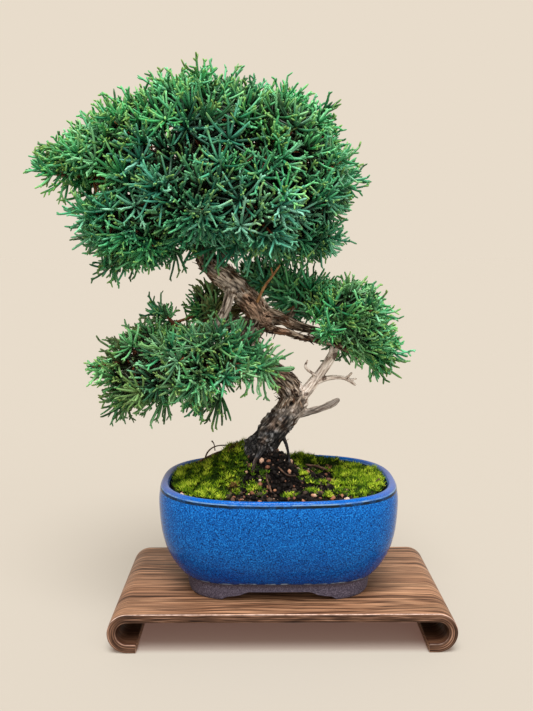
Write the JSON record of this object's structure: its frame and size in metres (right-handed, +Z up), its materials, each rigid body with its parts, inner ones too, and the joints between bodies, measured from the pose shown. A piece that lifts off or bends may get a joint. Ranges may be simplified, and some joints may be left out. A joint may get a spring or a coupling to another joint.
{
  "type": "bonsai tree in a pot",
  "caption": "Juniper bonsai with a folded trunk, dead-wood stubs and rounded foliage pads, in a rounded blue glazed pot on a low bent-wood display stand.",
  "frame": {"origin": "middle of the footprint of the whole tree, on the table under the display stand's feet", "axes": "+Z up, -Y towards the front of the tree, +X to its right as seen from the front"},
  "size_m": [0.258, 0.1444, 0.3462],
  "materials": {
    "walnut_board": "walnut veneer over bent laminations, satin lacquer",
    "pot_glaze": "mottled cobalt blue gloss glaze over grey-mauve clay, bare at the feet",
    "potting_soil": "dark damp grit with a few tan crumbs",
    "moss": "short bright green to yellow-green cushion moss",
    "bark": "rough flaking bark, silver-grey bleached dead wood",
    "foliage": "waxy blue-green to yellow-green cord-like juniper shoots"
  },
  "bodies": {
    "root": {"display_stand": "walnut_board", "pot": "pot_glaze", "soil": "potting_soil", "moss_left": "moss", "moss_right": "moss", "moss_back": "moss", "trunk_and_branches": "bark", "crown_left_1": "foliage", "right_pad_1": "foliage", "low_left_1": "foliage", "crown_upper_right_1": "foliage", "crown_back_1": "foliage", "crown_front_left_1": "foliage", "low_front_1": "foliage", "crown_top_1": "foliage", "crown_lower_left_1": "foliage", "crown_top_2": "foliage", "crown_lower_right_1": "foliage", "right_back_1": "foliage", "low_upper_1": "foliage", "crown_right_1": "foliage", "crown_back_2": "foliage", "low_front_2": "foliage", "crown_upper_right_2": "foliage", "crown_lower_left_2": "foliage", "crown_lower_right_2": "foliage", "right_pad_2": "foliage", "crown_back_3": "foliage", "crown_top_3": "foliage", "crown_lower_left_3": "foliage", "crown_upper_right_3": "foliage", "low_front_3": "foliage", "crown_upper_left_1": "foliage", "crown_upper_right_4": "foliage", "low_left_2": "foliage", "crown_lower_left_4": "foliage", "crown_front_right_1": "foliage", "right_pad_3": "foliage", "crown_right_2": "foliage", "crown_front_left_2": "foliage", "right_pad_4": "foliage", "crown_lower_left_5": "foliage", "crown_lower_left_6": "foliage", "crown_upper_left_2": "foliage", "right_back_2": "foliage", "crown_right_3": "foliage", "low_left_3": "foliage", "crown_lower_right_3": "foliage", "crown_back_4": "foliage", "low_front_4": "foliage", "crown_left_2": "foliage", "crown_back_5": "foliage", "low_back_1": "foliage", "crown_front_left_3": "foliage", "right_pad_5": "foliage", "crown_back_6": "foliage", "low_upper_2": "foliage", "low_front_5": "foliage"}
  },
  "joints": []
}
